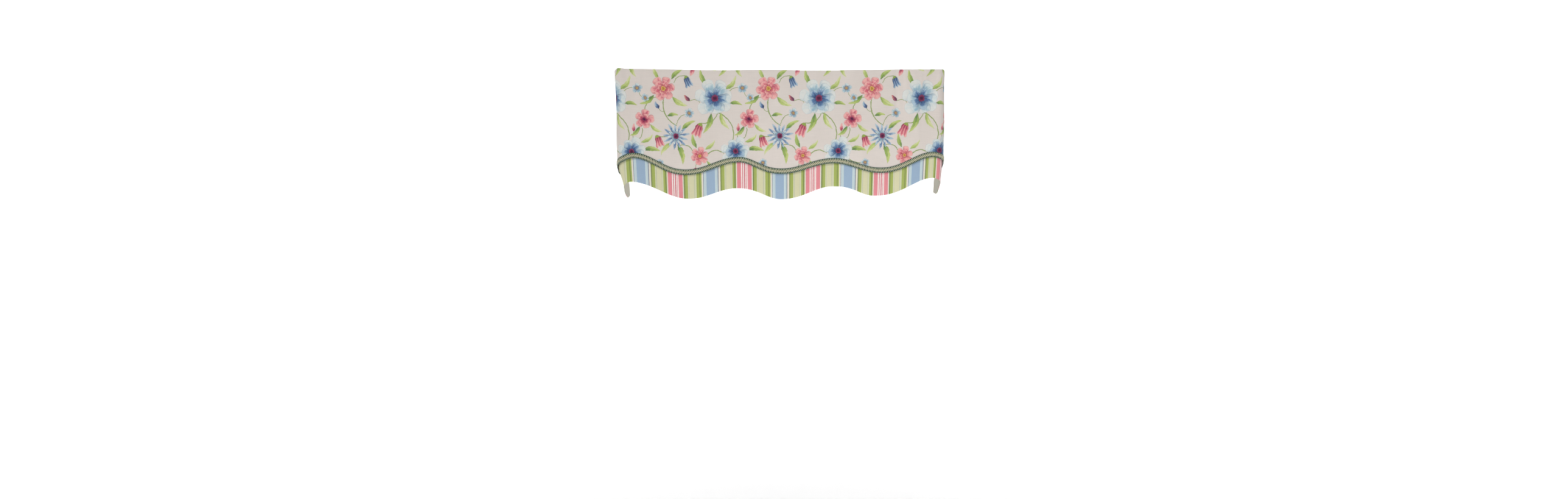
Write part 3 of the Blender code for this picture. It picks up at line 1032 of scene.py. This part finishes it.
def printed_cloth(graph):
    spot, face = cloth_place(graph)
    across, _ = graph.split(spot)
    extra = abs(across).smooth(ROUNDED_FROM, ROUNDED_TO) * across.math("SIGN") * ROUNDED_EXTRA
    spot = graph.vector("ADD", spot, graph.join(extra))
    slub = stretched_noise(graph, spot, 42.0, 1.1, 2.0)
    rib = stretched_noise(graph, spot, 1.0, 60.0)
    yarn = (slub - 0.5) * 0.16 + (rib - 0.5) * 0.05 + 1
    ground = graph.mix(ink(223, 214, 207), ink(214, 205, 197), graph.noise("3D", 90.0, 2.0, Vector=spot))
    shifted = graph.vector("SUBTRACT", spot, (*PRINT_SHIFT, 0.0))
    print_ink = printed_colour(graph, shifted, ground)
    back = graph.mix(ground, print_ink, 0.28)
    colour = shaded(graph, graph.mix(back, print_ink, face), yarn)
    return colour, weave(graph, spot, PRINTED_WEAVE) * 0.6 + slub


def striped_cloth(graph):
    spot, face = cloth_place(graph)
    across, _ = graph.split(spot)
    crowded = across.smooth(TAKEN_IN_FROM, TAKEN_IN_TO) * TAKEN_IN
    spot = graph.vector("ADD", spot, graph.join(crowded))
    slub = stretched_noise(graph, spot, 30.0, 0.9)
    yarn = (slub - 0.5) * 0.08 + (stretched_noise(graph, spot, 0.9, 40.0) - 0.5) * 0.1 + 1
    stripes = stripe_colour(graph, spot)
    back = graph.mix(stripes, CREAM, 0.35)
    colour = shaded(graph, graph.mix(back, stripes, face), yarn)
    return colour, weave(graph, spot, STRIPED_WEAVE) + slub * 0.5


def lining_cloth(graph):
    spot, _ = cloth_place(graph)
    slub = stretched_noise(graph, spot, 26.0, 0.8)
    blot = graph.noise("3D", 70.0, 2.0, Vector=spot)
    # The lining's inks are its own greige, darkened further by painted shade for the little light that
    # reaches the inside of the returns
    colour = graph.mix(ink(192, 189, 176), ink(182, 178, 164), blot)
    return shaded(graph, colour, (slub - 0.5) * 0.07 + 1), weave(graph, spot, LINING_WEAVE) + slub * 0.4


def yarn_parts(graph):
    """A yarn's length in millimetres, the share of the way round it, and its own chance."""
    yarn = graph.node("Attribute", {}, 1, attribute_name="yarn")
    parts = graph.node("SeparateXYZ", {0: yarn}).socket.node.outputs
    length, around, chance = (Field(graph, part) for part in parts)
    return length * 1000, around, chance


def twisted_yarn(name, roughness, first_ink, second_ink, twist):
    """The material of twisted yarns between two inks, chosen by each yarn's chance, with fine ply lines
    painted as shade and highlight.
    """

    def paint(graph):
        length, around, chance = yarn_parts(graph)
        ply = ((length * (1 / twist) + around * 0.5) * (2 * math.pi)).math("SINE")
        fuzz = graph.noise("3D", 1.0, 2.0, Vector=graph.join(length * 3, around * 5, chance * 50))
        colour = graph.mix(first_ink, second_ink, chance)
        # The ply lines are painted shade in the grooves between the plies and painted highlight on their
        # crowns
        return shaded(graph, colour, ply * 0.12 + (fuzz - 0.5) * 0.5 + 1), ply + fuzz

    return fabric(name, paint, roughness, sheen=0.2, relief=0.0001)


def band_paint(graph):
    length, across, _ = yarn_parts(graph)
    ribs = (length * (2 * math.pi / 1.1)).math("SINE")
    fuzz = graph.noise("3D", 1.0, 2.0, Vector=graph.join(length * 2, across * 2000))
    edge = graph.mix(ink(32, 60, 52), ink(58, 88, 74), fuzz)
    core = graph.mix(ink(96, 100, 80), ink(124, 124, 100), fuzz)
    colour = graph.mix(core, edge, (abs(across) * 1000).smooth(4.2, 4.9))
    return colour, ribs + fuzz


# The studio
SWEEP_FRONT = 6.0
SWEEP_BACK = 4.5
SWEEP_CURVE = 1.5
SWEEP_HEIGHT = 6.0
SWEEP_HALF = 9.0
SWEEP_STEPS = 17
SWEEP_PAINT = (0.92, 0.92, 0.92, 1.0)
SWEEP_ROUGHNESS = 0.9
FLOOR = -2.1

Lamp = namedtuple("Lamp", "kind name place aim size power")

# An area lamp's size is its width in metres, and a sun's is its spread in degrees
LAMPS = (
    Lamp("AREA", "front", (0.3, -1.3, -1.25), (0.1, 0.0, -0.3), 1.0, 11.0),
    Lamp("AREA", "backdrop_left", (-4.5, 0.3, 1.2), (-5.4, 4.5, 0.0), 3.0, 300.0),
    Lamp("AREA", "backdrop_right", (4.5, 0.3, 1.2), (5.4, 4.5, 0.0), 3.0, 300.0),
    Lamp("SUN", "key", (-2.0, -3.2, 3.4), (0.0, 0.0, 0.0), 24.0, 1.38),
    Lamp("SUN", "fill", (2.6, -4.0, -0.6), (0.0, 0.0, 0.0), 70.0, 0.15),
)
AMBIENT = (1.0, 1.0, 1.0, 1.0)
AMBIENT_POWER = 0.3


def stage():
    """A white sweep: a floor that curves up into a wall."""
    turns = np.linspace(0, np.pi / 2, SWEEP_STEPS)
    flat = SWEEP_BACK - SWEEP_CURVE
    curve = [(flat + SWEEP_CURVE * np.sin(turn), SWEEP_CURVE * (1 - np.cos(turn))) for turn in turns]
    line = [(-SWEEP_FRONT, 0.0), *curve, (SWEEP_BACK, SWEEP_HEIGHT)]
    points = [(side, y, FLOOR + z) for y, z in line for side in (-SWEEP_HALF, SWEEP_HALF)]
    faces = [(2 * n, 2 * n + 1, 2 * n + 3, 2 * n + 2) for n in range(len(line) - 1)]
    sweep = mesh_object("sweep", points, faces)
    material, _ = principled("sweep", {"Base Color": SWEEP_PAINT, "Roughness": SWEEP_ROUGHNESS})
    sweep.data.materials.append(material)


def light(lamp):
    """A lamp at its place, turned to its aim, which the camera doesn't see."""
    data = bpy.data.lights.new(lamp.name, lamp.kind)
    data.energy = lamp.power
    if lamp.kind == "SUN":
        data.angle = math.radians(lamp.size)
    else:
        data.size = lamp.size
    made = link(bpy.data.objects.new(lamp.name, data))
    made.visible_camera = False
    made.location = lamp.place
    away = mathutils.Vector(lamp.place) - mathutils.Vector(lamp.aim)
    made.rotation_euler = away.to_track_quat("Z", "Y").to_euler()


def lights():
    for lamp in LAMPS:
        light(lamp)
    world = bpy.data.worlds.new("studio")
    world.use_nodes = True
    background = world.node_tree.nodes["Background"]
    background.inputs["Color"].default_value = AMBIENT
    background.inputs["Strength"].default_value = AMBIENT_POWER
    bpy.context.scene.world = world
    bpy.context.scene.view_settings.view_transform = "Standard"


def camera():
    data = bpy.data.cameras.new("camera")
    data.sensor_width = CAMERA_SENSOR
    data.lens = CAMERA_LENS
    eye = link(bpy.data.objects.new("camera", data))
    eye.location = CAMERA_PLACE
    eye.rotation_euler = (math.pi / 2 - CAMERA_PITCH, 0, -CAMERA_YAW)
    bpy.context.scene.camera = eye


def dressed(piece, node, material):
    """Gives a piece its material and its body, and hides the model's node that it stands for."""
    piece.data.materials.append(material)
    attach(piece, "root")
    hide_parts(node)
    return piece


def main():
    camera()
    stage()
    lights()
    printed = fabric("printed_cotton", printed_cloth, roughness=0.88, sheen=0.15, relief=0.00016)
    woven = fabric("striped_cotton", striped_cloth, roughness=0.86, sheen=0.12, relief=0.00014)
    plain = fabric("lining_cotton", lining_cloth, roughness=0.9, sheen=0.1, relief=0.00012)
    floral = dressed(closed_sheet("floral_cloth", floral_sheet), "floral_panel", printed)
    striped = dressed(closed_sheet("striped_cloth", striped_sheet), "stripe_panel", woven)
    lining = dressed(closed_sheet("lining_cloth", lining_sheet), "lining", plain)
    edging = twisted_yarn("edging_yarn", 0.7, ink(46, 84, 74), ink(88, 124, 110), 0.9)
    middle = twisted_yarn("middle_yarn", 0.75, ink(122, 134, 110), ink(198, 180, 148), 0.9)
    ground = fabric("braid_ground", band_paint, roughness=0.8, sheen=0.1, relief=0.00012)
    pale = twisted_yarn("pale_yarn", 0.75, ink(218, 222, 188), ink(234, 234, 208), 0.8)
    parts = (
        (braid_band(), ground),
        (twisted_cords("braid_edging", EDGE_CORDS), edging),
        (twisted_cords("braid_middle", MIDDLE_CORDS), middle),
        (braid_strands(), pale),
    )
    braid = [dressed(piece, "braid_trim", material) for piece, material in parts]


main()
